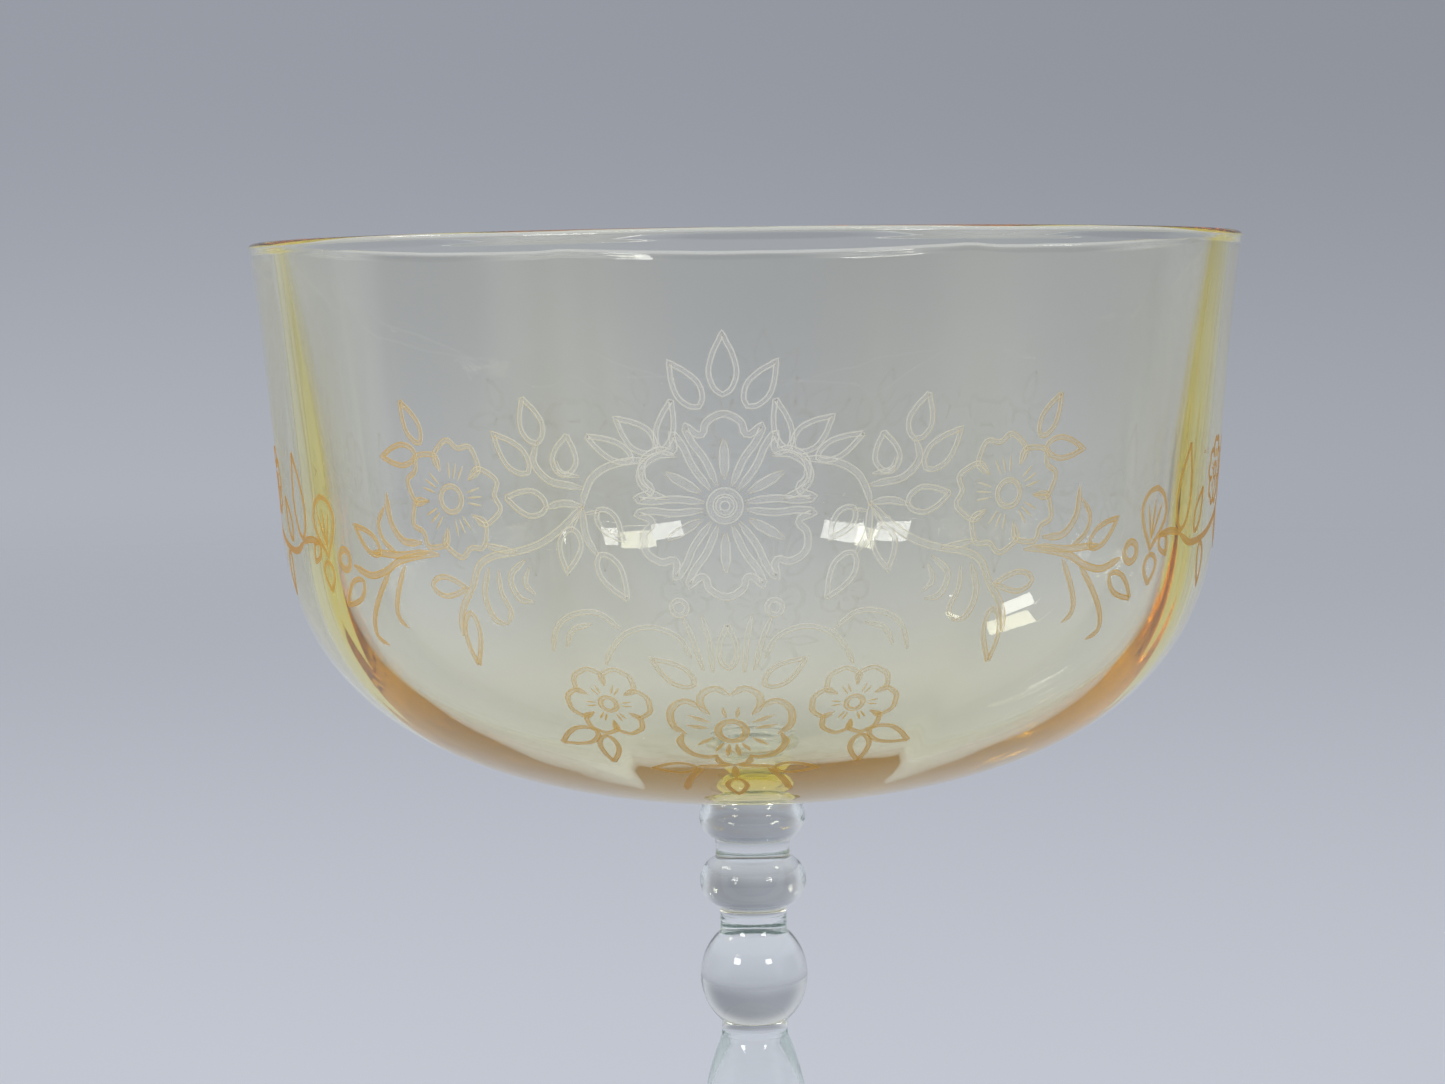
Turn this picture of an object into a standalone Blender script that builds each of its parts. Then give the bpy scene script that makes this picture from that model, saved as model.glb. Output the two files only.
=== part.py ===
"""A stemmed coupe glass: an open topaz bowl on a clear collar, two beads, a baluster stem and a round foot.

Metres, +Z up. The origin is the centre of the foot's resting face, and every piece is turned about the
Z axis. The pieces are separate gathers of glass, so each is its own closed solid, and pieces that are
fused on the real glass keep a small gap here.
"""

from math import cos, pi, radians, sin

import bmesh
import bpy
from mathutils import Vector
from mathutils.geometry import interpolate_bezier

MM = 0.001

# Driving dimensions, in millimetres.
HEIGHT = 155.0
RIM_RADIUS = 44.5
RIM_WALL = 0.95
FLOOR_WALL = 2.2
BOWL_BOTTOM = 104.5

BELLY_RADIUS = 42.0
BELLY_HEIGHT = 129.0

COLLAR_RADIUS = 4.9
COLLAR_CENTRE = 102.2
COLLAR_HALF_HEIGHT = 2.3
COLLAR_WAIST_RADIUS = 3.4
COLLAR_BOTTOM = 99.3

RING_RADIUS = 4.9
RING_CENTRE = 96.3
RING_HALF_HEIGHT = 2.4
RING_BOTTOM = 93.2

BALL_RADIUS = 4.95
BALL_CENTRE = 87.4
BALL_HALF_HEIGHT = 5.3
BALL_BOTTOM = 81.9

NECK_RADIUS = 3.05

BALUSTER_RADIUS = 4.9
BALUSTER_SWELL = 73.5
BALUSTER_WAIST_RADIUS = 2.7
BALUSTER_WAIST = 24.0
FOOT_TOP = 13.0
FOOT_NECK_RADIUS = 3.4

FOOT_RADIUS = 36.0
FOOT_EDGE = 1.1
FOOT_SHOULDER_RADIUS = 13.0
FOOT_SHOULDER = 5.6
REST_INNER_RADIUS = 25.0
REST_OUTER_RADIUS = 35.2
RECESS_DEPTH = 0.8

JOINT_GAP = 0.3

BOWL_STEPS = 64
STEM_STEPS = 32

TOPAZ = (0.90, 0.82, 0.48)
CRYSTAL = (0.90, 0.92, 0.94)


def clear_scene():
    """Removes every object, so that the file starts empty."""
    for item in list(bpy.data.objects):
        bpy.data.objects.remove(item, do_unlink=True)


def glass(name, colour, roughness):
    """A see-through material of one colour."""
    material = bpy.data.materials.new(name)
    material.use_nodes = True
    shader = material.node_tree.nodes["Principled BSDF"]
    shader.inputs["Base Color"].default_value = (*colour, 1.0)
    shader.inputs["Roughness"].default_value = roughness
    shader.inputs["Metallic"].default_value = 0.0
    shader.inputs["Transmission Weight"].default_value = 1.0
    shader.inputs["IOR"].default_value = 1.52
    return material


def bezier(start, start_handle, end_handle, end, count):
    """Points (radius, height) along one cubic curve."""
    corners = [Vector((*point, 0.0)) for point in (start, start_handle, end_handle, end)]
    return [(p.x, p.y) for p in interpolate_bezier(*corners, count)]


def arc(centre, radii, first, last, count):
    """Points on an ellipse about centre, between two angles in degrees; 90 is straight up."""
    angles = [radians(first + (last - first) * i / (count - 1)) for i in range(count)]
    return [(centre[0] + radii[0] * cos(a), centre[1] + radii[1] * sin(a)) for a in angles]


def bowl_outside():
    """The bowl's outside, from its rim down to the middle of its bottom."""
    wall = bezier(
        (RIM_RADIUS, HEIGHT),
        (RIM_RADIUS - 0.65, HEIGHT - 4.2),
        (BELLY_RADIUS + 0.6, BELLY_HEIGHT + 8.4),
        (BELLY_RADIUS, BELLY_HEIGHT),
        7,
    )
    belly = bezier(
        (BELLY_RADIUS, BELLY_HEIGHT),
        (BELLY_RADIUS - 1.8, BOWL_BOTTOM + 0.9),
        (8.7, BOWL_BOTTOM),
        (0.0, BOWL_BOTTOM),
        15,
    )
    return wall + belly[1:]


def bowl_inside(outside):
    """The outside moved inwards by a wall that thickens from the rim to the floor."""
    inside = []
    for i, (radius, height) in enumerate(outside[:-1]):
        before = Vector(outside[max(i - 1, 0)])
        after = Vector(outside[i + 1])
        down = (after - before).normalized()
        depth = (HEIGHT - height) / (HEIGHT - BOWL_BOTTOM)
        wall = RIM_WALL + (FLOOR_WALL - RIM_WALL) * depth**3
        inside.append((radius + down.y * wall, height - down.x * wall))
    inside.append((0.0, BOWL_BOTTOM + FLOOR_WALL))
    return inside


def bowl_outline():
    """The floor's middle, up the inside, over the rounded rim and down the outside."""
    outside = bowl_outside()
    inside = bowl_inside(outside)
    rim_centre = (RIM_RADIUS - RIM_WALL / 2, HEIGHT - RIM_WALL / 2)
    rim = arc(rim_centre, (RIM_WALL / 2, RIM_WALL / 2), 180.0, 0.0, 5)
    return inside[:0:-1] + rim + outside[1:]


def collar_outline():
    """A small cup under the bowl, drawn in to a waist."""
    top = BOWL_BOTTOM - JOINT_GAP
    bulge = COLLAR_RADIUS * 0.55
    middle = (COLLAR_RADIUS - bulge, COLLAR_CENTRE)
    cup = arc(middle, (bulge, COLLAR_HALF_HEIGHT), 55.0, -60.0, 8)
    waist = [(COLLAR_WAIST_RADIUS, COLLAR_BOTTOM), (0.0, COLLAR_BOTTOM)]
    return [(0.0, top), (cup[0][0], top), *cup, *waist]


def ring_outline():
    """A flattened bead with a short neck above and below."""
    top = COLLAR_BOTTOM - JOINT_GAP
    middle = (RING_RADIUS - RING_HALF_HEIGHT, RING_CENTRE)
    bead = arc(middle, (RING_HALF_HEIGHT, RING_HALF_HEIGHT), 66.0, -68.0, 9)
    neck = [(NECK_RADIUS, RING_BOTTOM), (0.0, RING_BOTTOM)]
    return [(0.0, top), (COLLAR_WAIST_RADIUS, top), *bead, *neck]


def ball_outline():
    """A round bead with a short neck above and below."""
    top = RING_BOTTOM - JOINT_GAP
    bead = arc((0.0, BALL_CENTRE), (BALL_RADIUS, BALL_HALF_HEIGHT), 51.5, -51.5, 11)
    neck = [(NECK_RADIUS, BALL_BOTTOM), (0.0, BALL_BOTTOM)]
    return [(0.0, top), (NECK_RADIUS, top), *bead, *neck]


def baluster_outline():
    """A long stem that swells near its top and tapers to a waist above the foot."""
    top = BALL_BOTTOM - JOINT_GAP
    swell = (BALUSTER_RADIUS, BALUSTER_SWELL)
    waist = (BALUSTER_WAIST_RADIUS, BALUSTER_WAIST)
    shoulder = bezier((NECK_RADIUS, top), (3.7, 80.2), (BALUSTER_RADIUS, 77.0), swell, 7)
    taper = bezier(swell, (BALUSTER_RADIUS, 60.0), (BALUSTER_WAIST_RADIUS, 42.0), waist, 11)
    flare = bezier(waist, (BALUSTER_WAIST_RADIUS, 19.0), (2.9, 15.5), (FOOT_NECK_RADIUS, FOOT_TOP), 5)
    return [(0.0, top), *shoulder, *taper[1:], *flare[1:], (0.0, FOOT_TOP)]


def foot_outline():
    """A round foot: a flared neck, a gently domed disc, a rounded edge and a flat ring to rest on."""
    top = FOOT_TOP - JOINT_GAP
    shoulder = (FOOT_SHOULDER_RADIUS, FOOT_SHOULDER)
    edge_centre = (FOOT_RADIUS - FOOT_EDGE, FOOT_EDGE)
    edge = arc(edge_centre, (FOOT_EDGE, FOOT_EDGE), 80.0, -45.0, 6)
    flare = bezier((FOOT_NECK_RADIUS, top), (3.9, 8.4), (7.2, 6.5), shoulder, 7)
    disc = bezier(shoulder, (19.0, 4.6), (28.0, 3.0), edge[0], 6)
    ring = [(REST_OUTER_RADIUS, 0.0), (REST_INNER_RADIUS, 0.0)]
    recess = bezier(ring[1], (18.0, RECESS_DEPTH * 0.6), (8.0, RECESS_DEPTH), (0.0, RECESS_DEPTH), 5)
    return [(0.0, top), *flare, *disc[1:-1], *edge, *ring, *recess[1:]]


def turned(name, outline, steps, material, parent):
    """Turns an outline, listed from the axis over the outer side and back to the axis, into a solid."""
    mesh = bpy.data.meshes.new(name)
    shape = bmesh.new()
    points = [shape.verts.new((radius * MM, 0.0, height * MM)) for radius, height in outline]
    edges = [shape.edges.new(pair) for pair in zip(points, points[1:])]
    bmesh.ops.spin(
        shape,
        geom=points + edges,
        cent=(0.0, 0.0, 0.0),
        axis=(0.0, 0.0, 1.0),
        angle=2 * pi,
        steps=steps,
        use_merge=True,
    )
    bmesh.ops.remove_doubles(shape, verts=shape.verts, dist=0.001 * MM)
    bmesh.ops.recalc_face_normals(shape, faces=shape.faces)
    shape.to_mesh(mesh)
    shape.free()
    mesh.shade_smooth()
    mesh.set_sharp_from_angle(angle=radians(40.0))
    mesh.materials.append(material)
    piece = bpy.data.objects.new(name, mesh)
    piece.parent = parent
    bpy.context.scene.collection.objects.link(piece)
    return piece


def build():
    """Builds the whole glass, from its bowl down to its foot."""
    clear_scene()
    whole = bpy.data.objects.new("whole_glass", None)
    bpy.context.scene.collection.objects.link(whole)
    topaz = glass("topaz_glass", TOPAZ, 0.02)
    crystal = glass("crystal_glass", CRYSTAL, 0.03)
    turned("bowl", bowl_outline(), BOWL_STEPS, topaz, whole)
    turned("collar", collar_outline(), STEM_STEPS, crystal, whole)
    turned("ring_knop", ring_outline(), STEM_STEPS, crystal, whole)
    turned("ball_knop", ball_outline(), STEM_STEPS, crystal, whole)
    turned("baluster", baluster_outline(), STEM_STEPS, crystal, whole)
    turned("foot", foot_outline(), BOWL_STEPS, crystal, whole)


build()
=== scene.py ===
"""The finished look of a stemmed coupe glass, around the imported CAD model.

The bowl is blown topaz glass with soft optic panels and a plate-etched garland on its outside, and the
stem and foot are clear crystal. Lengths are in millimetres unless a comment says otherwise.
"""

import math

import bpy
import numpy as np
from mathutils import Matrix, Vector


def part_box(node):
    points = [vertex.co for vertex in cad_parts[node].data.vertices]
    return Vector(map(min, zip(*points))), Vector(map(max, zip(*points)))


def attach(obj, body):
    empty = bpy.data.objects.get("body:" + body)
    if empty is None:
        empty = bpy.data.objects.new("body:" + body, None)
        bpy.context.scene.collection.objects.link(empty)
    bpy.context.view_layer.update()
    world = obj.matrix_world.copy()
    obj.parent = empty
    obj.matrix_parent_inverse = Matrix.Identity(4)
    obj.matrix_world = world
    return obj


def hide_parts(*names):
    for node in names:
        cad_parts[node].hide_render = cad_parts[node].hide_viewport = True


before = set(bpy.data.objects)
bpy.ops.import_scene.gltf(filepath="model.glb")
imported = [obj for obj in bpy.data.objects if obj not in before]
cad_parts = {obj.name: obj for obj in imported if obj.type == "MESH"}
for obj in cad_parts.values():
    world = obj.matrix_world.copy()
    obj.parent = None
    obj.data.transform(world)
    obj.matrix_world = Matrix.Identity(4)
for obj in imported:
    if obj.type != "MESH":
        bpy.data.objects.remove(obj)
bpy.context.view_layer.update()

MM = 0.001


# ---------------------------------------------------------------- sizes, read from the frame

def span(node):
    """(lowest z, highest z, radius) of a turned CAD node, in millimetres."""
    low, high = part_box(node)
    return low[2] / MM, high[2] / MM, high[0] / MM


BOWL_BOTTOM, RIM_HEIGHT, RIM_RADIUS = span("bowl")
BOWL_DEPTH = RIM_HEIGHT - BOWL_BOTTOM
BELLY_RADIUS = RIM_RADIUS - 2.5
BELLY_HEIGHT = BOWL_BOTTOM + 24.5
RIM_WALL = 0.95
FLOOR_WALL = 2.2
FUSED_GAP = 0.02
FUSED_RADIUS = 4.3

OPTIC_PANELS = 8
OPTIC_DEPTH = 0.45
OPTIC_TURN = math.radians(4.8)
OPTIC_LEAST = 0.45
OPTIC_REACH = 1.1
OPTIC_FLOOR_RADIUS = 20.0
OPTIC_ROUNDNESS = 0.8
OPTIC_LEVEL = 1.3

GARLAND_RADIUS = 42.0
GARLAND_HEIGHT = RIM_HEIGHT - 21.3
GARLAND_REPEATS = 2
GARLAND_LINK = math.pi * GARLAND_RADIUS / GARLAND_REPEATS


# ---------------------------------------------------------------- curves and outlines

def bezier(start, first, second, end, count):
    """count points on one cubic curve."""
    t = np.linspace(0.0, 1.0, count)[:, None]
    corners = [np.array(p, float) for p in (start, first, second, end)]
    weights = ((1 - t) ** 3, 3 * t * (1 - t) ** 2, 3 * t * t * (1 - t), t**3)
    return sum(w * c for w, c in zip(weights, corners))


def arc(centre, radii, first, last, count):
    """count points on an ellipse, between two angles in degrees; 90 is straight up."""
    a = np.radians(np.linspace(first, last, count))
    return np.column_stack([centre[0] + radii[0] * np.cos(a), centre[1] + radii[1] * np.sin(a)])


def bowl_side(count):
    """The bowl's outside as (radius, z), from its rim down to the middle of its bottom."""
    wall = bezier(
        (RIM_RADIUS, RIM_HEIGHT),
        (RIM_RADIUS - 0.65, RIM_HEIGHT - 4.2),
        (BELLY_RADIUS + 0.6, BELLY_HEIGHT + 8.4),
        (BELLY_RADIUS, BELLY_HEIGHT),
        count,
    )
    belly = bezier(
        (BELLY_RADIUS, BELLY_HEIGHT),
        (BELLY_RADIUS - 1.8, BOWL_BOTTOM + 0.9),
        (8.7, BOWL_BOTTOM),
        (0.0, BOWL_BOTTOM),
        2 * count,
    )
    return np.vstack([wall, belly[1:]])


SIDE = bowl_side(400)
SIDE_LENGTH = np.concatenate([[0.0], np.cumsum(np.hypot(*np.diff(SIDE, axis=0).T))])
GARLAND_LENGTH = np.interp(-GARLAND_HEIGHT, -SIDE[:, 1], SIDE_LENGTH)


def side_at(length):
    """(radius, z, outward normal's radius and z parts) at a length down the outside from the rim."""
    step = 0.05
    radius, height = (np.interp(length, SIDE_LENGTH, SIDE[:, i]) for i in range(2))
    above_r, above_z = (np.interp(length - step, SIDE_LENGTH, SIDE[:, i]) for i in range(2))
    below_r, below_z = (np.interp(length + step, SIDE_LENGTH, SIDE[:, i]) for i in range(2))
    down_r = below_r - above_r
    down_z = below_z - above_z
    size = np.hypot(down_r, down_z)
    return radius, height, -down_z / size, down_r / size


# ---------------------------------------------------------------- turned solids

def turned(name, outline, steps, caps=(0, 0), ripple=None):
    """A closed solid turned about Z from an outline that runs from the axis round to the axis.

    caps counts the outline's stretches, at its start and at its end, that are fused to a neighbour.
    ripple(radius, z, angle, index) gives a changed radius and z.
    """
    angles = 2 * math.pi * np.arange(steps) / steps
    verts, rings = [], []
    for i, (radius, height) in enumerate(outline):
        if radius < 1e-6:
            rings.append([len(verts)])
            verts.append((0.0, 0.0, height * MM))
            continue
        rings.append(list(range(len(verts), len(verts) + steps)))
        r, z = np.full(steps, radius), np.full(steps, height)
        if ripple is not None:
            r, z = ripple(r, z, angles, i)
        verts += list(zip(r * np.sin(angles) * MM, -r * np.cos(angles) * MM, z * MM))
    faces, fused = [], []
    last = len(rings) - 1
    for i, (upper, lower) in enumerate(zip(rings, rings[1:])):
        is_cap = i < caps[0] or i >= last - caps[1]
        for k in range(steps):
            n = (k + 1) % steps
            if len(upper) == 1:
                faces.append((upper[0], lower[k], lower[n]))
            elif len(lower) == 1:
                faces.append((upper[k], lower[0], upper[n]))
            else:
                faces.append((upper[k], lower[k], lower[n], upper[n]))
            fused.append(float(is_cap))
    mesh = bpy.data.meshes.new(name)
    mesh.from_pydata(verts, [], faces)
    mesh.attributes.new("fused", "FLOAT", "FACE").data.foreach_set("value", fused)
    mesh.shade_smooth()
    mesh.set_sharp_from_angle(angle=math.radians(50.0))
    piece = bpy.data.objects.new(name, mesh)
    bpy.context.scene.collection.objects.link(piece)
    return piece


# ---------------------------------------------------------------- the bowl

def bowl_outline(count):
    """The floor's middle, up the inside, over the rounded rim and down the outside."""
    outside = bowl_side(count)
    down = np.gradient(outside, axis=0)
    down /= np.linalg.norm(down, axis=1)[:, None]
    depth = (RIM_HEIGHT - outside[:, 1]) / BOWL_DEPTH
    wall = RIM_WALL + (FLOOR_WALL - RIM_WALL) * depth**3
    inside = outside + np.column_stack([down[:, 1] * wall, -down[:, 0] * wall])
    inside[-1] = (0.0, BOWL_BOTTOM + FLOOR_WALL)
    rim_centre = (RIM_RADIUS - RIM_WALL / 2, RIM_HEIGHT - RIM_WALL / 2)
    rim = arc(rim_centre, (RIM_WALL / 2, RIM_WALL / 2), 180.0, 0.0, 17)
    inside = inside[inside[:, 1] < rim_centre[1] - 0.2]
    outside = outside[outside[:, 1] < rim_centre[1] - 0.2]
    outline = np.vstack([inside[::-1], rim, outside])
    caps = int((outside[:, 0] < FUSED_RADIUS).sum())
    return outline, len(inside), caps


def make_bowl():
    """The blown bowl: smooth outside, with wide soft optic panels on the inside."""
    outline, inside_count, caps = bowl_outline(90)

    def optic(radius, height, angles, index):
        if index >= inside_count:
            return radius, height
        depth = np.clip((RIM_HEIGHT - height) / BOWL_DEPTH, 0.0, 1.0)
        swell = np.sin(math.pi * np.clip(depth * OPTIC_REACH, 0.0, 1.0)) ** 2
        share = OPTIC_LEAST + (1.0 - OPTIC_LEAST) * swell
        near_floor = np.clip(radius / OPTIC_FLOOR_RADIUS, 0.0, 1.0) ** 2
        panel = np.abs(np.cos(OPTIC_PANELS / 2 * (angles - OPTIC_TURN)))
        wave = 2.0 * panel**OPTIC_ROUNDNESS - OPTIC_LEVEL
        return radius + OPTIC_DEPTH * share * near_floor * wave, height

    bowl = turned("topaz_bowl", outline, 256, (0, caps), optic)
    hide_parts("bowl")
    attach(bowl, "root")
    return bowl


# ---------------------------------------------------------------- the crystal stem and foot

COLLAR_WAIST_RADIUS = 3.4
NECK_RADIUS = 3.05
BALUSTER_WAIST_RADIUS = 2.7
FOOT_NECK_RADIUS = 3.4
FOOT_EDGE = 1.1
FOOT_SHOULDER_RADIUS = 13.0
FOOT_SHOULDER_DROP = 7.1
REST_INNER_RADIUS = 25.0
RECESS_DEPTH = 0.8

def axis_to_axis(points, top, bottom):
    """Closes an outline with flat ends at two heights."""
    points = np.array(points, float)
    return np.vstack([[(0.0, top), (points[0][0], top)], points, [(points[-1][0], bottom), (0.0, bottom)]])


def collar_outline():
    """A small cup whose top follows the bowl's bottom, drawn in to a waist."""
    low, _, radius = span("collar")
    bulge = radius * 0.55
    cup = arc((radius - bulge, low + 2.9), (bulge, 2.3), 60.0, -62.0, 24)
    seat = SIDE[SIDE[:, 0] < cup[0][0]][::-8]
    seat = seat - (0.0, FUSED_GAP)
    waist = [(COLLAR_WAIST_RADIUS, low + 0.25), (COLLAR_WAIST_RADIUS, low)]
    return np.vstack([seat, cup, waist, [(0.0, low)]]), (len(seat) - 1, 1)


def knop_outline(node, neighbour_low, centre_share, half, neck_top, neck_low, angles):
    """A bead between two necks; half is its half height, angles where its round part ends."""
    low, high, radius = span(node)
    top = neighbour_low - FUSED_GAP
    middle = low + (high - low) * centre_share
    inner = max(radius - half, 0.0)
    bead = arc((inner, middle), (radius - inner, half), *angles, 33)
    points = [(neck_top, top - 0.15), *bead, (neck_low, low + 0.35)]
    return axis_to_axis(points, top, low), (1, 1)


def baluster_outline():
    """A long stem that swells near its top and tapers to a waist above the foot."""
    low, high, radius = span("baluster")
    top = span("ball_knop")[0] - FUSED_GAP
    swell = (radius, high - 8.1)
    waist = (BALUSTER_WAIST_RADIUS, low + 11.0)
    shoulder = bezier((NECK_RADIUS, top - 0.05), (3.7, high - 1.4), (radius, high - 4.6), swell, 14)
    taper = bezier(swell, (radius, high - 21.6), (waist[0], high - 39.6), waist, 30)
    flare = bezier(
        waist, (BALUSTER_WAIST_RADIUS, low + 6.0), (2.9, low + 2.5), (FOOT_NECK_RADIUS, low + 0.02), 10
    )
    points = np.vstack([shoulder, taper[1:], flare[1:]])
    return axis_to_axis(points, top, low), (1, 1)


def foot_outline():
    """A round foot: a flared neck, a domed disc, a rounded edge and a flat ring to rest on."""
    low, high, radius = span("foot")
    top = span("baluster")[0] - FUSED_GAP
    edge = arc((radius - FOOT_EDGE, low + FOOT_EDGE), (FOOT_EDGE, FOOT_EDGE), 80.0, -60.0, 12)
    shoulder = (FOOT_SHOULDER_RADIUS, high - FOOT_SHOULDER_DROP)
    flare = bezier((FOOT_NECK_RADIUS, top - 0.02), (3.9, high - 4.3), (7.2, high - 6.2), shoulder, 24)
    disc = bezier(shoulder, (19.0, high - 8.1), (28.0, high - 9.7), edge[0], 24)
    rest = [(radius - 0.8, low), (REST_INNER_RADIUS, low)]
    middle = (0.0, low + RECESS_DEPTH)
    recess = bezier((REST_INNER_RADIUS, low), (21.0, low + 0.5), (9.0, low + RECESS_DEPTH), middle, 14)
    return np.vstack([[(0.0, top)], flare, disc[1:-1], edge, rest, recess[1:]]), (1, 0)


def make_stem():
    """Collar, ring bead, ball bead, baluster and foot, each fused to the next."""
    ring_bead = knop_outline(
        "ring_knop", span("collar")[0], 0.53, 2.4, COLLAR_WAIST_RADIUS, NECK_RADIUS, (66.0, -68.0)
    )
    ball_bead = knop_outline(
        "ball_knop", span("ring_knop")[0], 0.5, 5.3, NECK_RADIUS, NECK_RADIUS, (52.0, -52.0)
    )
    shapes = {
        "collar": collar_outline(),
        "ring_knop": ring_bead,
        "ball_knop": ball_bead,
        "baluster": baluster_outline(),
        "foot": foot_outline(),
    }
    pieces = []
    for node, (outline, caps) in shapes.items():
        steps = 192 if node == "foot" else 96
        piece = turned("crystal_" + node, outline, steps, caps)
        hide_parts(node)
        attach(piece, "root")
        pieces.append(piece)
    return pieces


# ---------------------------------------------------------------- the etched garland
# A stroke is (points, width, closed). Its points are (across, up) from a medallion's centre, measured
# over the bowl's outside: across at the garland's own radius, up along the outline.

LINE = 0.62
FINE = 0.46
HAIR = 0.26


def smooth(points, closed=False, step=6):
    """A curve through given points."""
    p = np.array(points, float)
    if len(p) == 2 and not closed:
        return np.linspace(p[0], p[1], step + 1)
    before, after = (p[-1], p[0]) if closed else (2 * p[0] - p[1], 2 * p[-1] - p[-2])
    q = np.vstack([before, p, after, p[1] if closed else after])
    t = np.linspace(0.0, 1.0, step, endpoint=False)[:, None]
    out = []
    for i in range(len(p) if closed else len(p) - 1):
        a, b, c, d = q[i], q[i + 1], q[i + 2], q[i + 3]
        squared = 2 * a - 5 * b + 4 * c - d
        cubed = 3 * b - a - 3 * c + d
        out.append(0.5 * (2 * b + (c - a) * t + squared * t**2 + cubed * t**3))
    out = np.vstack(out)
    return out if closed else np.vstack([out, p[-1]])


def line(*points, width=LINE):
    """An open stroke, which tapers at both ends."""
    return [(smooth(points), width, False)]


def ring(centre, radius, width=FINE):
    """A round outline."""
    a = np.linspace(0.0, 2 * math.pi, 28, endpoint=False)
    return [(np.column_stack([centre[0] + radius * np.cos(a), centre[1] + radius * np.sin(a)]), width, True)]


def leaf(tip, base, width):
    """A leaf's outline, pointed at its tip and round at its base."""
    tip, base = np.array(tip, float), np.array(base, float)
    along = tip - base
    across = np.array([-along[1], along[0]]) / np.linalg.norm(along) * width / 2
    shares = ((0.0, 0.0), (0.10, 0.62), (0.36, 1.0), (0.66, 0.70), (0.87, 0.24))
    left = [base + along * s + across * w for s, w in shares]
    right = [base + along * s - across * w for s, w in shares]
    outline = smooth(left + [tip], step=5)
    back = smooth(right + [tip], step=5)[::-1]
    return [(np.vstack([outline, back[1:-1]]), FINE, True)]


def turn(points, angle):
    """Points turned about the origin by an angle in degrees."""
    a = math.radians(angle)
    return np.array(points, float) @ np.array([[math.cos(a), math.sin(a)], [-math.sin(a), math.cos(a)]])


def medallion():
    """The large front flower: a double ring and six scalloped petals with a rib in each."""
    strokes = ring((0, 0), 0.55) + ring((0, 0), 1.15, LINE)
    half = [
        (0.55, 1.55), (1.45, 3.6), (2.45, 5.0), (2.95, 6.25),
        (2.05, 5.55), (1.55, 5.65), (1.3, 6.5), (0.0, 7.15),
    ]
    other_half = [(-x, y) for x, y in half[-2::-1]]
    for k in range(6):
        angle = 60.0 * k
        strokes.append((turn(smooth(half + other_half, step=4), angle), LINE, False))
        strokes.append((turn(smooth([(0.0, 2.1), (0.0, 5.2)]), angle), LINE * 1.3, False))
    return strokes


def blossom(centre, radius, petals, first, heart, ribs, eye, rib_length=1.3):
    """A round flower; heart dents each petal's end, and ribs are the short lines in each petal."""
    strokes = ring((0, 0), eye)
    share = math.radians(180.0 / petals)
    for k in range(petals):
        angle = first - 90.0 + 360.0 * k / petals
        side = radius * 0.86
        edge = [
            (math.sin(share) * radius * 0.50, math.cos(share) * radius * 0.50),
            (math.sin(share) * radius * 0.80, math.cos(share) * radius * 0.74),
            (math.sin(share * 0.72) * side * 1.04, math.cos(share * 0.72) * side * 1.04),
            (math.sin(share * 0.36) * radius, math.cos(share * 0.36) * radius),
            (0.0, radius * (1.0 - heart)),
        ]
        other_half = [(-x, y) for x, y in edge[-2::-1]]
        strokes.append((turn(smooth(edge + other_half, step=4), angle), FINE, False))
        for j in range(ribs):
            lean = math.radians((j - (ribs - 1) / 2) * 14.0)
            rib = [(math.sin(lean) * r, math.cos(lean) * r) for r in (eye * 1.6, eye * 1.6 + rib_length)]
            strokes.append((turn(smooth(rib, step=3), angle), HAIR, False))
    return [(points + np.array(centre, float), width, closed) for points, width, closed in strokes]


def mirrored(strokes):
    """The strokes and their mirror images about the vertical line through a medallion."""
    return strokes + [(points * (-1.0, 1.0), width, closed) for points, width, closed in strokes]


def crown_leaves():
    """The leaves above a medallion and beside its top."""
    strokes = leaf((0.0, 13.4), (0.0, 8.6), 2.1)
    side = leaf((4.05, 11.2), (1.8, 7.7), 1.9)
    side += leaf((3.9, 8.3), (4.8, 4.4), 1.3)
    side += leaf((8.3, 6.9), (5.3, 4.3), 1.9)
    side += leaf((10.7, 5.5), (7.1, 3.6), 1.4)
    side += line((3.6, 3.9), (4.9, 4.0), (6.2, 3.2), (6.5, 2.0), (5.6, 1.0), (4.4, 0.6))
    return strokes + mirrored(side)


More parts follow.
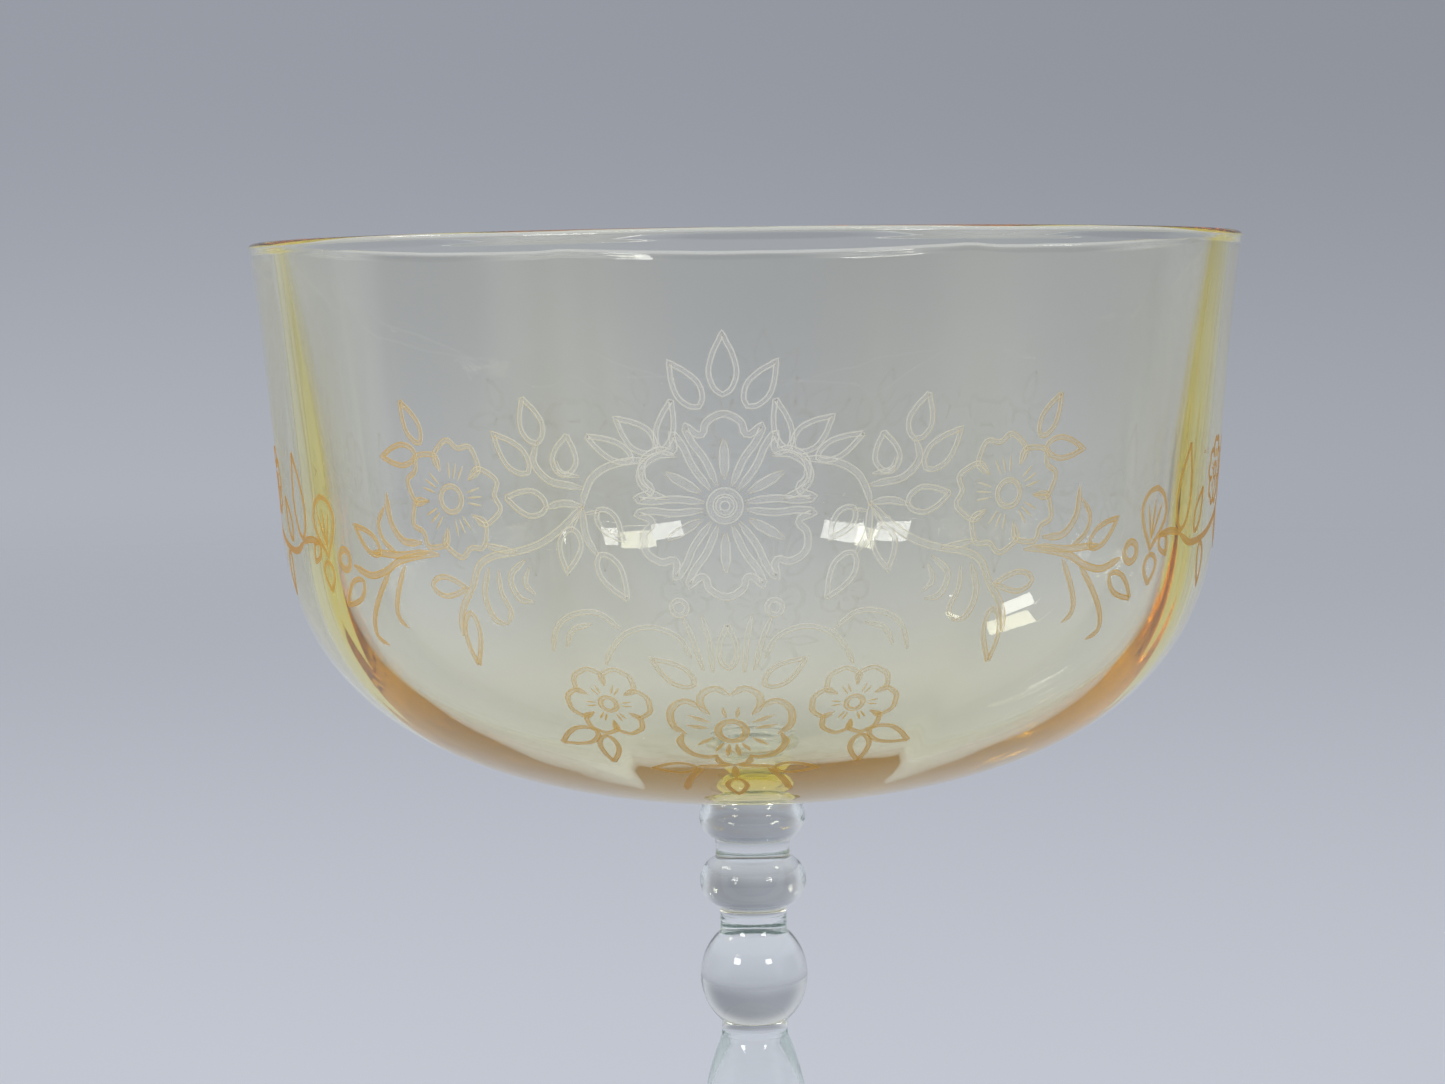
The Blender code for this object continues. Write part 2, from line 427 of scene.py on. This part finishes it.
def vines():
    """The stems that run from a medallion out past the side blossoms to where two repeats meet."""
    side = line((6.0, 3.6), (7.4, 3.5), (9.0, 3.1), (10.3, 2.2), (11.0, 0.8), (11.2, -0.2))
    side += line((14.7, 5.0), (15.1, 3.4), (13.9, 2.0), (12.2, 1.6), (11.1, 1.4))
    side += line((13.2, 3.6), (12.8, 2.6), (11.3, 2.3), width=FINE)
    side += line((14.3, -0.2), (12.8, 0.2), (11.2, 0.0))
    side += line(
        (11.2, 0.0), (12.8, -1.6), (14.9, -3.0), (17.1, -3.7), (19.2, -4.1),
        (20.6, -4.9), (21.4, -6.6), (22.8, -8.7), (23.4, -10.9),
    )
    side += line((17.1, -3.7), (18.6, -3.5), (20.0, -3.2))
    side += line((11.2, -0.1), (11.0, -2.3), (10.1, -3.9))
    side += line((11.3, -0.3), (11.9, -1.2), (12.1, -2.0), width=FINE)
    side += line((11.0, -0.6), (10.4, -0.5), (9.9, -0.4), width=FINE)
    side += line((24.6, -4.2), (26.0, -4.2), (29.2, -4.9), (31.0, -5.8), (33.2, -6.3), (35.6, -5.6))
    side += line((25.8, -4.0), (29.0, -4.4), (32.6, -4.3))
    side += line((30.5, -0.4), (31.5, -1.9), (31.0, -3.3), (29.4, -4.3), width=FINE)
    side += line((30.2, 0.7), (29.9, -1.7), (28.5, -3.2), (26.4, -3.3))
    side += line((41.2, -4.2), (42.8, -3.9), (44.3, -4.0), (45.5, -4.3))
    side += line(
        (45.4, -4.3), (48.0, -5.2), (52.0, -4.9), (56.0, -3.9), (60.0, -2.2),
        (GARLAND_LINK - 3.6, -0.6),
    )
    return mirrored(side)


def tendrils():
    """The drooping crescents below the stems."""
    side = line((19.7, -5.0), (20.3, -7.3), (19.7, -9.2), (18.6, -9.7), width=FINE * 1.2)
    side += line((18.8, -5.2), (18.7, -7.0), (18.0, -8.6), (18.6, -9.7), width=FINE)
    side += line((16.3, -4.3), (17.7, -5.7), (17.1, -7.4), (15.8, -7.7), width=FINE * 1.2)
    side += line((16.0, -4.9), (16.4, -6.2), (15.6, -7.1), width=FINE)
    side += line((30.6, -5.9), (32.3, -7.8), (34.0, -10.1), (34.4, -11.7), (33.1, -12.4), width=FINE * 1.2)
    side += line((28.6, -5.2), (30.2, -8.3), (30.4, -9.8), (29.5, -10.6), width=FINE * 1.2)
    return mirrored(side)


def vine_leaves():
    """The leaves along the stems, out to where two repeats meet."""
    side = leaf((12.2, 5.6), (12.7, 2.4), 2.0)
    side += leaf((15.8, 8.5), (14.7, 4.9), 1.9)
    side += leaf((18.6, 5.7), (15.6, 2.6), 1.9)
    side += leaf((17.8, 0.6), (14.2, -0.1), 2.0)
    side += leaf((12.7, -5.3), (12.1, -1.8), 1.8)
    side += leaf((7.8, -7.4), (9.9, -3.8), 1.8)
    side += leaf((8.0, -2.7), (9.9, -0.3), 1.5)
    side += leaf((22.6, -13.6), (22.0, -8.8), 1.5)
    side += leaf((21.9, -6.8), (25.6, -6.7), 1.6)
    side += leaf((30.4, 3.6), (26.4, 3.9), 1.7)
    side += leaf((27.7, 8.2), (25.8, 4.8), 1.5)
    side += leaf((35.0, -2.2), (31.6, -4.4), 1.5)
    side += leaf((37.9, -9.2), (34.4, -6.9), 1.6)
    side += leaf((40.3, -8.2), (40.1, -5.6), 1.9)
    side += leaf((42.8, -5.8), (41.6, -4.1), 1.4)
    side += leaf((46.6, 3.4), (45.5, -4.0), 2.9)
    side += leaf((50.9, -0.6), (49.0, -4.3), 1.7)
    side += leaf((52.8, -9.4), (51.0, -5.4), 1.7)
    side += leaf((60.6, -6.6), (58.0, -3.3), 1.7)
    side += leaf((61.6, 3.2), (60.0, -1.8), 1.8)
    return mirrored(side)


def side_flowers():
    """At each side the round blossom, then a ring, an oval bud with three veins and a smaller blossom."""
    side = blossom((22.95, 0.35), 4.75, 5, 103.0, 0.12, 3, 1.05)
    side += ring((37.0, -5.2), 0.85, LINE)
    side += leaf((39.9, -5.2), (40.7, -0.1), 4.0)
    for top in ((39.4, -1.5), (40.5, -1.1), (41.6, -1.4)):
        side += line((40.0, -4.4), top, width=HAIR)
    side += blossom((55.6, 0.5), 3.0, 5, 90.0, 0.1, 2, 0.7, 0.8)
    return mirrored(side)


def links():
    """The small rosette where two repeats meet, with three leaves above it and one below."""
    strokes = blossom((GARLAND_LINK, 0.4), 3.5, 6, 90.0, 0.0, 2, 0.8, 0.9)
    strokes += leaf((GARLAND_LINK, 8.8), (GARLAND_LINK, 4.6), 2.0)
    strokes += leaf((GARLAND_LINK + 3.6, 6.8), (GARLAND_LINK + 1.8, 4.2), 1.4)
    strokes += leaf((GARLAND_LINK - 3.6, 6.8), (GARLAND_LINK - 1.8, 4.2), 1.4)
    strokes += leaf((GARLAND_LINK, -8.8), (GARLAND_LINK, -4.2), 1.8)
    return strokes


def pendant():
    """The drop below a medallion: antennae, scrolls, a heart-topped flower and two small ones."""
    strokes = leaf((0.0, -9.3), (0.0, -13.2), 1.5)
    side = ring((3.75, -8.0), 0.62)
    side += line((3.5, -8.8), (2.8, -10.6), (2.1, -13.4), width=FINE)
    side += line((2.0, -8.6), (1.5, -10.8), (1.3, -13.6), width=FINE)
    side += line(
        (3.0, -12.3), (3.9, -10.5), (6.0, -9.6), (8.15, -10.1), (9.6, -11.6), (10.3, -13.0),
        width=FINE,
    )
    side += line((8.5, -9.9), (10.3, -8.5), (12.4, -8.6), (14.0, -9.7), (14.8, -11.9), width=FINE)
    side += line((11.0, -9.4), (12.6, -9.9), (13.5, -11.4), width=FINE)
    side += leaf((6.4, -12.3), (3.0, -14.8), 1.8)
    side += blossom((10.9, -16.9), 3.75, 6, 60.0, 0.0, 2, 0.75, 0.9)
    side += leaf((17.6, -22.1), (13.0, -20.2), 2.1)
    side += leaf((13.2, -25.1), (12.2, -20.8), 1.9)
    side += leaf((9.1, -26.0), (4.2, -25.8), 1.9)
    side += line((0.0, -25.2), (2.0, -25.4), (4.3, -25.5))
    side += line((3.6, -25.9), (5.4, -28.2), (6.8, -31.4))
    strokes += mirrored(side)
    strokes += ring((0.0, -20.0), 1.3, LINE)
    heart = [(0.0, -15.9), (1.2, -15.1), (2.4, -15.7), (2.6, -16.9), (1.9, -18.0)]
    strokes += mirrored(line(*heart, width=LINE))
    petals = line((2.5, -17.2), (4.0, -16.4), (5.3, -17.4), (5.4, -19.2), (4.3, -20.4))
    petals += line((4.6, -20.3), (5.1, -21.6), (4.2, -23.2), (2.6, -23.8), (1.6, -23.4))
    petals += line((1.8, -23.5), (1.4, -24.8), (0.0, -25.2))
    ribs = (((1.9, -18.9), (3.9, -18.0)), ((2.1, -19.6), (4.2, -19.2)), ((1.9, -20.8), (3.4, -21.9)))
    for low, high in ribs:
        petals += line(low, high, width=FINE)
    petals += line((0.9, -21.6), (1.7, -22.8), width=FINE)
    petals += line((0.35, -21.8), (0.6, -23.6), width=FINE)
    petals += line((0.5, -18.3), (0.7, -17.2), width=FINE)
    strokes += mirrored(petals)
    strokes += leaf((0.0, -33.2), (0.0, -28.2), 2.4)
    strokes += line((0.0, -25.4), (0.0, -28.0), width=LINE)
    return strokes


# ---------------------------------------------------------------- strokes laid on the bowl

LIP_RISE = 0.024
LIP_WIDTH = 0.11
TROUGH_RISE = 0.006
SINK = 0.03


def on_bowl(points, repeat):
    """Points and outward normals, in millimetres, where a stroke's points lie on the bowl."""
    angle = points[:, 0] / GARLAND_RADIUS + repeat * 2 * math.pi / GARLAND_REPEATS
    radius, height, normal_r, normal_z = side_at(GARLAND_LENGTH - points[:, 1])
    around = np.column_stack([np.sin(angle), -np.cos(angle)])
    places = np.column_stack([around * radius[:, None], height])
    normals = np.column_stack([around * normal_r[:, None], normal_z])
    return places, normals


def resampled(points, closed, spacing=0.3):
    """The stroke's points at an even spacing."""
    p = np.vstack([points, points[:1]]) if closed else points
    lengths = np.concatenate([[0.0], np.cumsum(np.linalg.norm(np.diff(p, axis=0), axis=1))])
    count = max(int(round(lengths[-1] / spacing)), 4)
    marks = np.linspace(0.0, lengths[-1], count + 1)
    if closed:
        marks = marks[:-1]
    return np.column_stack([np.interp(marks, lengths, p[:, i]) for i in range(2)])


def section(width):
    """A stroke's cross-section as (across, out) points, with the slot of the face after each point.

    A wide stroke is a shallow trough between two lips, and a hairline is one lip; slot 0 is a lip's
    face, slot 1 the trough's and slot 2 those that lie in the bowl's glass.
    """
    half = width / 2
    if width <= HAIR:
        return [(-half, 0.0), (0.0, LIP_RISE), (half, 0.0), (0.0, -SINK)], [0, 0, 2, 2]
    left = [(-half, 0.0), (LIP_WIDTH / 2 - half, LIP_RISE), (LIP_WIDTH - half, TROUGH_RISE)]
    right = [(-across, out) for across, out in left[::-1]]
    return left + right + [(0.0, -SINK)], [0, 0, 1, 0, 0, 2, 2]


def ribbon(stroke, repeat, verts, faces, slots):
    """Adds one stroke as a thin closed strip of frosted glass that stands a little proud of the bowl."""
    points, width, closed = stroke
    points = resampled(points, closed)
    places, normals = on_bowl(points, repeat)
    if closed:
        along = np.roll(places, -1, axis=0) - np.roll(places, 1, axis=0)
        taper = np.ones(len(places))
    else:
        along = np.gradient(places, axis=0)
        ends = np.minimum(np.arange(len(places)), np.arange(len(places))[::-1]) / 3.0
        taper = np.clip(0.35 + 0.65 * ends, 0.0, 1.0)
    across = np.cross(along, normals)
    across *= (taper / np.linalg.norm(across, axis=1))[:, None]
    profile, profile_slots = section(width)
    start, size, count = len(verts), len(profile), len(places)
    corners = [places + across * x + normals * y for x, y in profile]
    verts += [tuple(p * MM) for cut in zip(*corners) for p in cut]
    for i in range(count if closed else count - 1):
        here, there = start + size * i, start + size * ((i + 1) % count)
        for k in range(size):
            n = (k + 1) % size
            faces.append((here + k, here + n, there + n, there + k))
        slots += profile_slots
    if not closed:
        last = start + size * (count - 1)
        faces.append(tuple(range(start + size - 1, start - 1, -1)))
        faces.append(tuple(range(last, last + size)))
        slots += [0, 0]


def etch(name, strokes, materials):
    """One group of strokes, repeated round the bowl, as one piece."""
    verts, faces, slots = [], [], []
    for repeat in range(GARLAND_REPEATS):
        for stroke in strokes:
            ribbon(stroke, repeat, verts, faces, slots)
    mesh = bpy.data.meshes.new(name)
    mesh.from_pydata(verts, [], faces)
    mesh.shade_smooth()
    mesh.set_sharp_from_angle(angle=math.radians(60.0))
    for material in materials:
        mesh.materials.append(material)
    mesh.polygons.foreach_set("material_index", slots)
    piece = bpy.data.objects.new(name, mesh)
    bpy.context.scene.collection.objects.link(piece)
    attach(piece, "root")
    return piece


# ---------------------------------------------------------------- materials

def new_material(name):
    """A material with its Principled shader and output: (material, tree, shader, output)."""
    material = bpy.data.materials.new(name)
    material.use_nodes = True
    tree = material.node_tree
    return material, tree, tree.nodes["Principled BSDF"], tree.nodes["Material Output"]


def noise(tree, scale, detail=2.0):
    """A noise texture in object space; scale is in waves per metre."""
    place = tree.nodes.new("ShaderNodeTexCoord")
    texture = tree.nodes.new("ShaderNodeTexNoise")
    texture.inputs["Scale"].default_value = scale
    texture.inputs["Detail"].default_value = detail
    tree.links.new(place.outputs["Object"], texture.inputs["Vector"])
    return texture.outputs["Fac"]


def bump(tree, height, distance, strength):
    """A bump of a height signal; distance is in metres."""
    node = tree.nodes.new("ShaderNodeBump")
    node.inputs["Distance"].default_value = distance
    node.inputs["Strength"].default_value = strength
    tree.links.new(height, node.inputs["Height"])
    return node.outputs["Normal"]


def ranged(tree, value, low, high):
    """A 0 to 1 signal moved to low..high."""
    node = tree.nodes.new("ShaderNodeMapRange")
    node.inputs["To Min"].default_value = low
    node.inputs["To Max"].default_value = high
    tree.links.new(value, node.inputs["Value"])
    return node.outputs["Result"]


def glass(name, taken, wave, strength):
    """Clear glass; taken is what a metre of it absorbs in red, green and blue.

    Where a face is fused to the next piece there is no air to bend light, so its IOR is that of none.
    """
    material, tree, shader, output = new_material(name)
    shader.inputs["Base Color"].default_value = (1.0, 1.0, 1.0, 1.0)
    shader.inputs["Metallic"].default_value = 0.0
    shader.inputs["Transmission Weight"].default_value = 1.0
    shader.inputs["IOR"].default_value = 1.5
    tree.links.new(ranged(tree, noise(tree, 180.0), 0.0, 0.02), shader.inputs["Roughness"])
    tree.links.new(bump(tree, noise(tree, wave), 0.0006, strength), shader.inputs["Normal"])
    fused = tree.nodes.new("ShaderNodeAttribute")
    fused.attribute_name = "fused"
    tree.links.new(ranged(tree, fused.outputs["Fac"], 1.5, 1.0001), shader.inputs["IOR"])
    absorb = tree.nodes.new("ShaderNodeVolumeAbsorption")
    density = max(taken)
    absorb.inputs["Color"].default_value = (*[1.0 - t / density for t in taken], 1.0)
    absorb.inputs["Density"].default_value = density
    tree.links.new(absorb.outputs["Volume"], output.inputs["Volume"])
    return material


# The ramp's pale first stop is the frost's own colour; the amber stops are painted light, the tint of light
# that has run along the tinted wall.
FROST_AND_PAINTED_AMBER_STOPS = (
    (0.0, (0.84, 0.83, 0.75)),
    (0.17, (0.80, 0.73, 0.48)),
    (0.36, (0.76, 0.45, 0.06)),
    (0.70, (0.60, 0.28, 0.012)),
)
FROST_FROM_INSIDE = 0.08


def frost(name, face_on):
    """Etched glass: matt and pale face on; the amber towards grazing is painted light, the tint that light
    takes running along the tinted wall, painted into the colour by the viewing angle.

    face_on is how much of what lies behind it a stroke hides when seen face on; it hides more the more
    aslant it is seen. From inside the bowl, through the clear wall, it is only a faint haze.
    """
    material, tree, shader, _ = new_material(name)
    facing = tree.nodes.new("ShaderNodeLayerWeight")
    facing.inputs["Blend"].default_value = 0.5
    ramp = tree.nodes.new("ShaderNodeValToRGB")
    while len(ramp.color_ramp.elements) < len(FROST_AND_PAINTED_AMBER_STOPS):
        ramp.color_ramp.elements.new(0.5)
    for element, (place, colour) in zip(ramp.color_ramp.elements, FROST_AND_PAINTED_AMBER_STOPS):
        element.position = place
        element.color = (*colour, 1.0)
    # Painted amber light: the stroke's colour turns from pale to amber the more aslant it is seen.
    tree.links.new(facing.outputs["Facing"], ramp.inputs["Fac"])
    tree.links.new(ramp.outputs["Color"], shader.inputs["Base Color"])
    shader.inputs["Roughness"].default_value = 0.5
    side = tree.nodes.new("ShaderNodeNewGeometry")
    shown = tree.nodes.new("ShaderNodeMath")
    shown.operation = "MULTIPLY"
    tree.links.new(ranged(tree, side.outputs["Backfacing"], 1.0, FROST_FROM_INSIDE), shown.inputs[0])
    tree.links.new(ranged(tree, facing.outputs["Facing"], face_on, 1.0), shown.inputs[1])
    tree.links.new(shown.outputs["Value"], shader.inputs["Alpha"])
    tree.links.new(bump(tree, noise(tree, 9000.0, 3.0), 0.00003, 0.6), shader.inputs["Normal"])
    return material


def etched_bed():
    """The side of a stroke that lies in the clear glass, which hardly shows."""
    material, _, shader, _ = new_material("etched_bed")
    shader.inputs["Base Color"].default_value = (0.86, 0.87, 0.82, 1.0)
    shader.inputs["Roughness"].default_value = 0.6
    shader.inputs["Alpha"].default_value = 0.04
    return material


# ---------------------------------------------------------------- stage, lights and camera

CAMERA_DISTANCE = 267.0
CAMERA_HEIGHT = RIM_HEIGHT - 6.0
CAMERA_AZIMUTH = 2.4
CAMERA_TURN = 0.51
CAMERA_PITCH = 4.6
CAMERA_ROLL = -0.8
LENS = 73.0

BACKDROP_TOP = (0.315, 0.333, 0.380)
BACKDROP_LOW = (0.440, 0.462, 0.515)
BACKDROP_SHADE = 0.86
SURROUND = (0.58, 0.60, 0.64)
BEHIND_CAMERA = (0.14, 0.14, 0.15)
FLAG = (0.16, 0.17, 0.19)
OVERHEAD = (0.60, 0.61, 0.63)
FLOOR_COLOUR = (0.65, 0.675, 0.735)
# The floor's edge, and where it starts to fade; both in metres.
FLOOR_RADIUS = 2.6
FLOOR_SOLID_RADIUS = 0.35


def eased(tree, value, start, end):
    """A smooth 0 to 1 step of a signal between start and end."""
    node = tree.nodes.new("ShaderNodeMapRange")
    node.interpolation_type = "SMOOTHERSTEP"
    node.inputs["From Min"].default_value = start
    node.inputs["From Max"].default_value = end
    tree.links.new(value, node.inputs["Value"])
    return node.outputs["Result"]


def blended(tree, share, first, second):
    """first where share is 0 and second where it is 1; each is a colour or a socket."""
    node = tree.nodes.new("ShaderNodeMix")
    node.data_type = "RGBA"
    tree.links.new(share, node.inputs["Factor"])
    for name, value in (("A", first), ("B", second)):
        socket = next(i for i in node.inputs if i.name == name and i.type == "RGBA")
        if isinstance(value, tuple):
            socket.default_value = (*value, 1.0)
        else:
            tree.links.new(value, socket)
    return next(o for o in node.outputs if o.type == "RGBA")


def make_world():
    """A grey backdrop behind the glass, paler sides and ceiling, and dark behind the camera and far right."""
    world = bpy.data.worlds.new("studio")
    bpy.context.scene.world = world
    world.use_nodes = True
    tree = world.node_tree
    place = tree.nodes.new("ShaderNodeTexCoord")
    split = tree.nodes.new("ShaderNodeSeparateXYZ")
    tree.links.new(place.outputs["Generated"], split.inputs["Vector"])
    lower = eased(tree, split.outputs["Z"], 0.12, -0.12)
    to_right = eased(tree, split.outputs["X"], -0.35, 0.35)
    aside = eased(tree, split.outputs["Y"], 0.93, 0.45)
    behind = eased(tree, split.outputs["Y"], -0.35, -0.80)
    flagged = eased(tree, split.outputs["X"], 0.86, 0.96)
    above = eased(tree, split.outputs["Z"], 0.25, 0.75)
    backdrop = blended(tree, lower, BACKDROP_TOP, BACKDROP_LOW)
    shaded = blended(
        tree,
        lower,
        tuple(c * BACKDROP_SHADE for c in BACKDROP_TOP),
        tuple(c * BACKDROP_SHADE for c in BACKDROP_LOW),
    )
    backdrop = blended(tree, to_right, backdrop, shaded)
    walls = blended(tree, aside, backdrop, SURROUND)
    walls = blended(tree, flagged, walls, FLAG)
    walls = blended(tree, behind, walls, BEHIND_CAMERA)
    room = blended(tree, above, walls, OVERHEAD)
    tree.links.new(room, tree.nodes["Background"].inputs["Color"])


def make_floor():
    """A pale round floor that fades into the background far behind the glass."""
    rings = 24
    steps = 64
    verts = [(0.0, 0.0, 0.0)]
    for i in range(1, rings + 1):
        radius = FLOOR_RADIUS * (i / rings) ** 1.6
        for k in range(steps):
            a = 2 * math.pi * k / steps
            verts.append((radius * math.cos(a), radius * math.sin(a), 0.0))
    faces = [(0, 1 + k, 1 + (k + 1) % steps) for k in range(steps)]
    for i in range(rings - 1):
        for k in range(steps):
            n = (k + 1) % steps
            inner, outer = 1 + i * steps, 1 + (i + 1) * steps
            faces.append((inner + k, outer + k, outer + n, inner + n))
    mesh = bpy.data.meshes.new("studio_floor")
    mesh.from_pydata(verts, [], faces)
    floor = bpy.data.objects.new("studio_floor", mesh)
    floor.location.z = -0.00002
    bpy.context.scene.collection.objects.link(floor)
    material, tree, shader, _ = new_material("studio_floor")
    shader.inputs["Base Color"].default_value = (*FLOOR_COLOUR, 1.0)
    shader.inputs["Roughness"].default_value = 0.7
    shader.inputs["Specular IOR Level"].default_value = 0.2
    place = tree.nodes.new("ShaderNodeTexCoord")
    length = tree.nodes.new("ShaderNodeVectorMath")
    length.operation = "LENGTH"
    fade = tree.nodes.new("ShaderNodeMapRange")
    fade.interpolation_type = "SMOOTHERSTEP"
    fade.inputs["From Min"].default_value = FLOOR_SOLID_RADIUS
    fade.inputs["From Max"].default_value = FLOOR_RADIUS * 0.97
    fade.inputs["To Min"].default_value = 1.0
    fade.inputs["To Max"].default_value = 0.0
    tree.links.new(place.outputs["Object"], length.inputs[0])
    tree.links.new(length.outputs["Value"], fade.inputs["Value"])
    tree.links.new(fade.outputs["Result"], shader.inputs["Alpha"])
    mesh.materials.append(material)


def softbox(name, azimuth, elevation, distance, size, radiance, in_glass=True):
    """A soft white rectangular light that faces the bowl; distance and size are in metres.

    One that isn't in_glass lights the floor and the etching, but isn't reflected in the glass or seen
    through it.
    """
    data = bpy.data.lights.new(name, "AREA")
    data.shape = "RECTANGLE"
    data.size, data.size_y = size
    data.energy = math.pi * size[0] * size[1] * radiance
    lamp = bpy.data.objects.new(name, data)
    turn_z = math.radians(azimuth)
    rise = math.radians(elevation)
    lamp.matrix_world = (
        Matrix.Translation((0.0, 0.0, GARLAND_HEIGHT * MM))
        @ Matrix.Rotation(turn_z, 4, "Z")
        @ Matrix.Rotation(math.pi / 2 - rise, 4, "X")
        @ Matrix.Translation((0.0, 0.0, distance))
    )
    lamp.visible_camera = False
    lamp.visible_glossy = in_glass
    lamp.visible_transmission = in_glass
    bpy.context.scene.collection.objects.link(lamp)


def make_lights():
    """Small lamps in front at either side of the camera and one behind, and a wide one overhead."""
    softbox("lamp_right", CAMERA_AZIMUTH + 37.0, 27.0, 0.9, (0.20, 0.15), 14.0)
    softbox("lamp_left", CAMERA_AZIMUTH - 42.0, 27.0, 0.9, (0.24, 0.18), 14.0)
    softbox("lamp_behind", CAMERA_AZIMUTH - 116.0, 48.0, 0.9, (0.13, 0.13), 9.0)
    softbox("lamp_overhead", 0.0, 90.0, 1.0, (0.50, 0.50), 3.0, in_glass=False)


def make_camera():
    """The camera, close in front of the bowl and a little below its rim."""
    data = bpy.data.cameras.new("camera")
    data.lens = LENS
    data.sensor_width = 36.0
    data.clip_start = 0.01
    camera = bpy.data.objects.new("camera", data)
    camera.matrix_world = (
        Matrix.Rotation(math.radians(CAMERA_AZIMUTH), 4, "Z")
        @ Matrix.Translation((0.0, -CAMERA_DISTANCE * MM, CAMERA_HEIGHT * MM))
        @ Matrix.Rotation(math.radians(CAMERA_TURN), 4, "Z")
        @ Matrix.Rotation(math.radians(90.0 - CAMERA_PITCH), 4, "X")
        @ Matrix.Rotation(math.radians(CAMERA_ROLL), 4, "Z")
    )
    bpy.context.scene.collection.objects.link(camera)
    bpy.context.scene.camera = camera


# ---------------------------------------------------------------- the whole scene

make_camera()
make_world()
make_floor()
make_lights()

LIGHT_BOUNCES = 64
TOPAZ_TAKEN = (2.3, 10.5, 82.0)
CRYSTAL_TAKEN = (6.0, 4.0, 5.0)

scene = bpy.context.scene
scene.view_settings.view_transform = "Standard"
scene.cycles.max_bounces = LIGHT_BOUNCES
scene.cycles.transmission_bounces = LIGHT_BOUNCES
scene.cycles.glossy_bounces = LIGHT_BOUNCES
scene.cycles.transparent_max_bounces = 24

topaz = glass("topaz_glass", TOPAZ_TAKEN, 60.0, 0.10)
crystal = glass("crystal_glass", CRYSTAL_TAKEN, 90.0, 0.06)
# The lips get denser frost than the troughs, so a stroke's edges read brighter: partly the raised lip's
# relief catching the lamps, partly a painted highlight.
etched = (frost("etched_lip", 0.68), frost("etched_trough", 0.20), etched_bed())

make_bowl().data.materials.append(topaz)
for piece in make_stem():
    piece.data.materials.append(crystal)

for name, strokes in (
    ("etched_medallions", medallion()),
    ("etched_crown_leaves", crown_leaves()),
    ("etched_vines", vines()),
    ("etched_tendrils", tendrils()),
    ("etched_vine_leaves", vine_leaves()),
    ("etched_side_flowers", side_flowers()),
    ("etched_pendants", pendant()),
    ("etched_links", links()),
):
    etch(name, strokes, etched)
